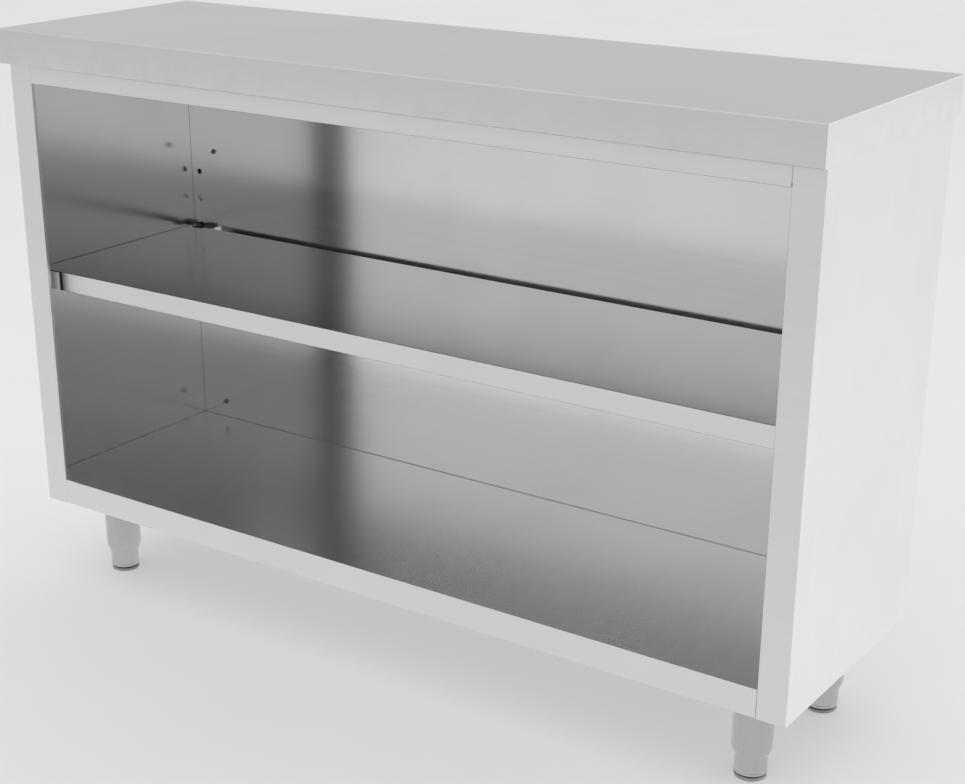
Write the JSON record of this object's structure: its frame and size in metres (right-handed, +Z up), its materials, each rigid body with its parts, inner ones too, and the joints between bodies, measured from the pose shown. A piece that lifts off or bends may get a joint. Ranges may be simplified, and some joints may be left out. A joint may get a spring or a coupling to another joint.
{
  "type": "open stainless steel cabinet",
  "caption": "Low open-fronted stainless steel cabinet with a flat worktop, a lift-off middle shelf, a bottom deck, a back panel and round adjustable feet.",
  "frame": {"origin": "on the floor, below the middle of the worktop", "axes": "+X along the worktop to the right as seen from the open front, +Y from the open front to the back panel, +Z up"},
  "size_m": [1.3, 0.4, 0.87],
  "materials": {
    "worktop_steel": "brushed",
    "body_steel": "brushed",
    "inner_steel": "brushed",
    "leg_steel": "satin",
    "galvanised_steel": "galvanised",
    "fixing_steel": "plain",
    "core_board": "raw particle board",
    "pad_plastic": "moulded"
  },
  "bodies": {
    "cabinet": {"worktop_shell": "worktop_steel", "worktop_board": "core_board", "worktop_stiffener_front": "galvanised_steel", "worktop_stiffener_rear": "galvanised_steel", "side_panel_left": "body_steel", "side_panel_right": "body_steel", "header_rail": "body_steel", "rear_rail": "inner_steel", "back_panel": "inner_steel", "bottom_deck": "inner_steel", "deck_stiffener": "galvanised_steel", "upright_channel_left": "galvanised_steel", "upright_channel_right": "galvanised_steel", "shelf_support_left": "inner_steel", "shelf_support_right": "inner_steel", "leg_plate_front_left": "galvanised_steel", "leg_sleeve_front_left": "leg_steel", "leg_insert_front_left": "fixing_steel", "shelf_bolt_front_left": "fixing_steel", "worktop_screw_front_left": "fixing_steel", "leg_plate_front_right": "galvanised_steel", "leg_sleeve_front_right": "leg_steel", "leg_insert_front_right": "fixing_steel", "shelf_bolt_front_right": "fixing_steel", "worktop_screw_front_right": "fixing_steel", "leg_plate_rear_left": "galvanised_steel", "leg_sleeve_rear_left": "leg_steel", "leg_insert_rear_left": "fixing_steel", "shelf_bolt_rear_left": "fixing_steel", "worktop_screw_rear_left": "fixing_steel", "leg_plate_rear_right": "galvanised_steel", "leg_sleeve_rear_right": "leg_steel", "leg_insert_rear_right": "fixing_steel", "shelf_bolt_rear_right": "fixing_steel", "worktop_screw_rear_right": "fixing_steel", "back_rivet_left_1": "fixing_steel", "back_rivet_left_2": "fixing_steel", "back_rivet_left_3": "fixing_steel", "back_rivet_right_1": "fixing_steel", "back_rivet_right_2": "fixing_steel", "back_rivet_right_3": "fixing_steel"},
    "shelf": {"shelf": "inner_steel", "shelf_stiffener": "galvanised_steel"},
    "foot_front_left": {"foot_front_left": "leg_steel", "foot_pad_front_left": "pad_plastic"},
    "foot_front_right": {"foot_front_right": "leg_steel", "foot_pad_front_right": "pad_plastic"},
    "foot_rear_left": {"foot_rear_left": "leg_steel", "foot_pad_rear_left": "pad_plastic"},
    "foot_rear_right": {"foot_rear_right": "leg_steel", "foot_pad_rear_right": "pad_plastic"}
  },
  "joints": [
    {"name": "shelf_lift", "type": "slide", "parent": "cabinet", "child": "shelf", "axis": [0, 0, 1], "range_m": [0, 0.28]},
    {"name": "foot_height_front_left", "type": "slide", "parent": "cabinet", "child": "foot_front_left", "axis": [0, 0, -1], "range_m": [-0.02, 0.035]},
    {"name": "foot_height_front_right", "type": "slide", "parent": "cabinet", "child": "foot_front_right", "axis": [0, 0, -1], "range_m": [-0.02, 0.035]},
    {"name": "foot_height_rear_left", "type": "slide", "parent": "cabinet", "child": "foot_rear_left", "axis": [0, 0, -1], "range_m": [-0.02, 0.035]},
    {"name": "foot_height_rear_right", "type": "slide", "parent": "cabinet", "child": "foot_rear_right", "axis": [0, 0, -1], "range_m": [-0.02, 0.035]}
  ]
}
